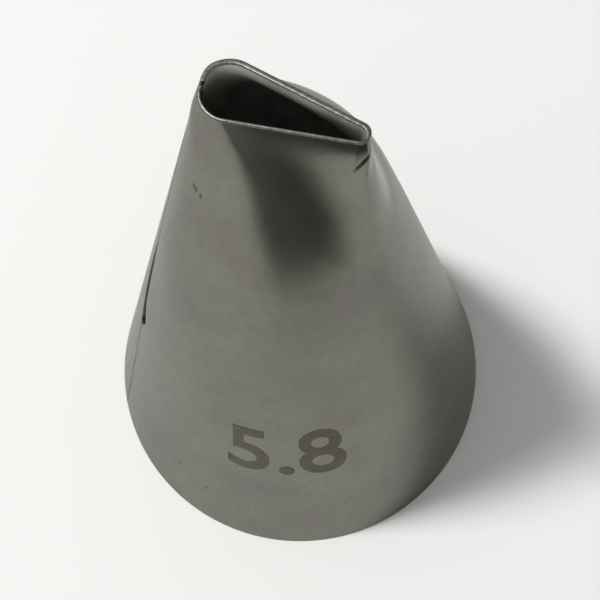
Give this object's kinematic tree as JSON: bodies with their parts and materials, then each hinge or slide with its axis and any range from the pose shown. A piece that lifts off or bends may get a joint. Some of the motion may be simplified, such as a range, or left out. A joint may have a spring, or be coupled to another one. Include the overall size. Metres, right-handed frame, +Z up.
{
  "type": "piping nozzle",
  "caption": "Petal piping nozzle: rolled steel cone with a butt seam, pressed flat at the tip to a teardrop slot that pipes petals and ruffles.",
  "frame": {"origin": "middle of the base circle, in the plane of the base rim", "axes": "+Z up the nozzle towards the slot; X along the slot, with its wide end and the seam on the -X side"},
  "size_m": [0.018, 0.018, 0.0325],
  "materials": {
    "satin_steel": "dull satin",
    "weld_steel": "dull, slightly darker than the sheet"
  },
  "bodies": {
    "root": {"nozzle_shell": "satin_steel", "lower_seam_weld": "weld_steel", "upper_seam_weld": "weld_steel"}
  },
  "joints": []
}
